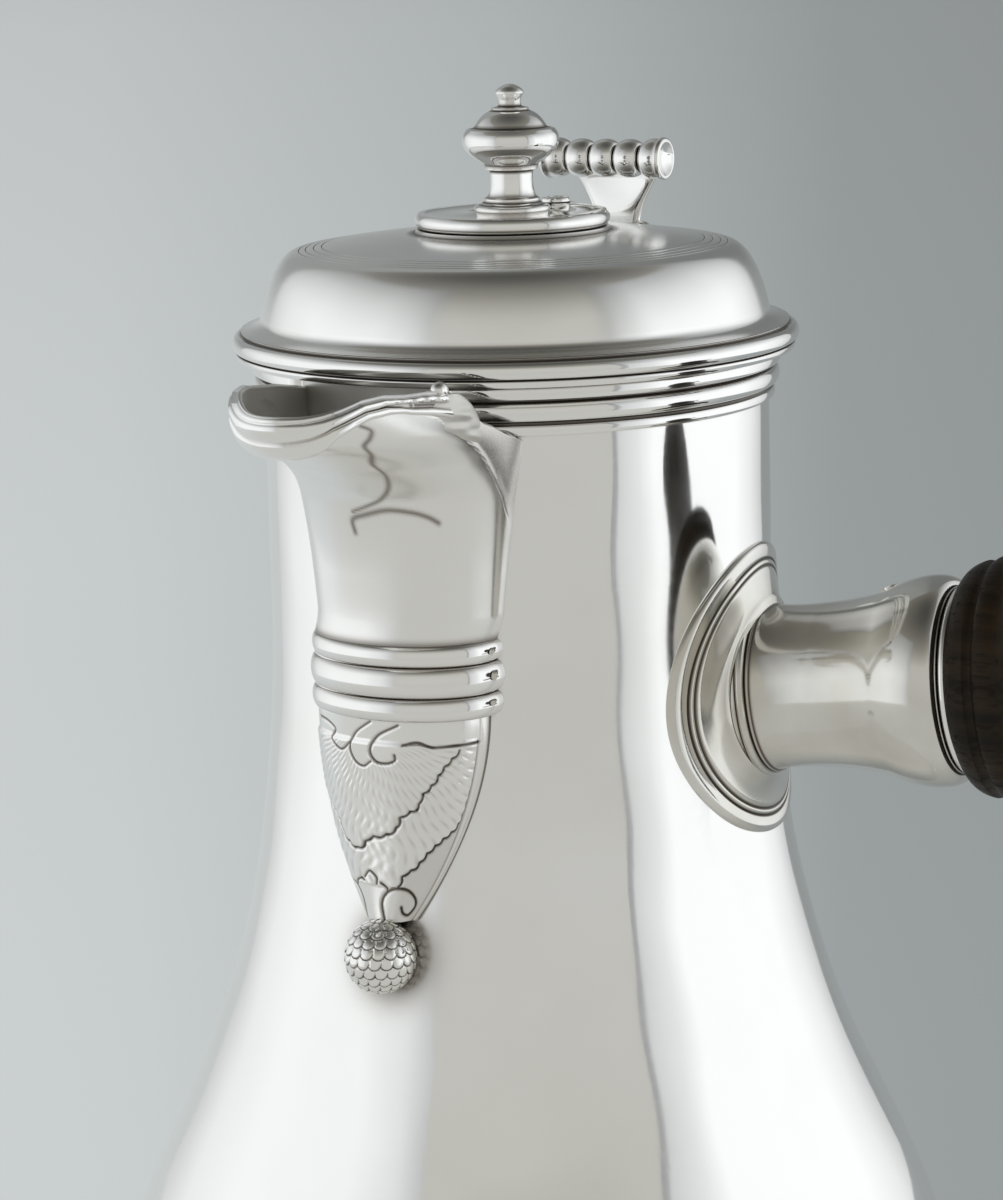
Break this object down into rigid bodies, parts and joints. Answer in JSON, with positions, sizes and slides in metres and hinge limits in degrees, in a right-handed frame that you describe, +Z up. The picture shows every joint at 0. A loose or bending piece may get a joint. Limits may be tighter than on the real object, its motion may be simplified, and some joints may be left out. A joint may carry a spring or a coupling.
{
  "type": "coffee pot",
  "caption": "Pear-shaped silver pot on feet, with a beak spout, a turned wooden side handle, a hinged lid with a thumbpiece, and a finial that swivels off a stirrer hole.",
  "frame": {"origin": "on the pot's vertical axis, in the plane the feet stand on", "axes": "+Z up; the spout points to -Y, the handle to +X and the lid's hinge is at +Y"},
  "size_m": [0.2501, 0.1397, 0.2489],
  "materials": {
    "silver": "polished silver",
    "wood": "dark turned hardwood"
  },
  "bodies": {
    "pot": {"body": "silver", "rim_moulding": "silver", "spout_beak": "silver", "spout_lip_wire": "silver", "spout_reed_band": "silver", "spout_shield": "silver", "spout_berry": "silver", "handle_escutcheon": "silver", "handle_socket": "silver", "socket_rim_wire": "silver", "handle_grip": "wood", "handle_pin": "silver", "hinge_body_leaf": "silver", "hinge_pin": "silver", "foot_plate_1": "silver", "foot_1": "silver", "foot_plate_2": "silver", "foot_2": "silver", "foot_plate_3": "silver", "foot_3": "silver"},
    "lid": {"hinge_lid_leaf": "silver", "lid_dome": "silver", "lid_flange": "silver", "lid_bezel": "silver", "thumbpiece_roll": "silver", "thumbpiece_leaf": "silver", "pivot_rivet": "silver", "pivot_washer": "silver"},
    "finial": {"finial_plate": "silver", "finial": "silver"}
  },
  "joints": [
    {"name": "lid_hinge", "type": "hinge", "parent": "pot", "child": "lid", "pos_m": [0, 0.0443, 0.20975], "axis": [-1, 0, 0], "range_deg": [0, 110]},
    {"name": "finial_swivel", "type": "hinge", "parent": "lid", "child": "finial", "pos_m": [0, 0.014, 0.2282], "axis": [0, 0, 1], "range_deg": [-110, 110]}
  ]
}
